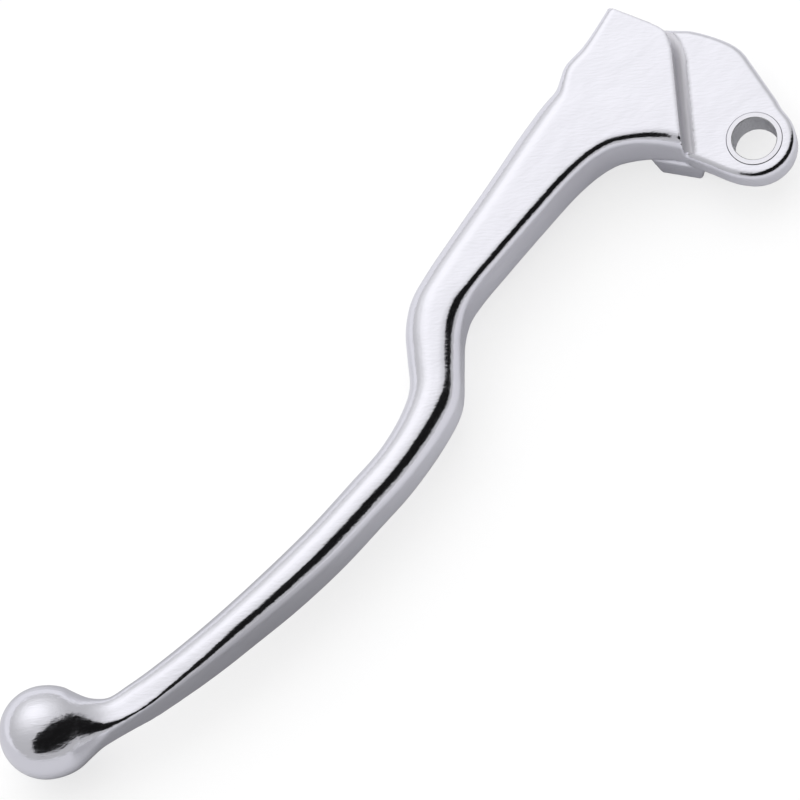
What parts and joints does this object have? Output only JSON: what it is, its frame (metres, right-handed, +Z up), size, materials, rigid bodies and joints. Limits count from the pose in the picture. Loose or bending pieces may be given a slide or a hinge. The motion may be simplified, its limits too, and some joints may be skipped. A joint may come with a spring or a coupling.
{
  "type": "motorcycle clutch lever",
  "caption": "Polished cast aluminium clutch lever with a ball end, a dog-leg blade and a stepped head, turning on a plain steel bush at its pivot plate.",
  "frame": {"origin": "on the pivot axis, level with the flat underside of the lever", "axes": "+X from the ball end towards the pivot, +Y away from the handlebar grip, +Z up through the polished top face"},
  "size_m": [0.1866, 0.0479, 0.0199],
  "materials": {
    "polished_aluminium": "polished casting, fine polishing marks, duller machined bores",
    "bush_steel": "turned steel, bright ends and a duller bore"
  },
  "bodies": {
    "bush": {"pivot_bush": "bush_steel"},
    "lever": {"lever_casting": "polished_aluminium"}
  },
  "joints": [
    {"name": "lever_pivot", "type": "hinge", "parent": "bush", "child": "lever", "pos_m": [0, 0, 0], "axis": [0, 0, 1], "range_deg": [0, 26]}
  ]
}
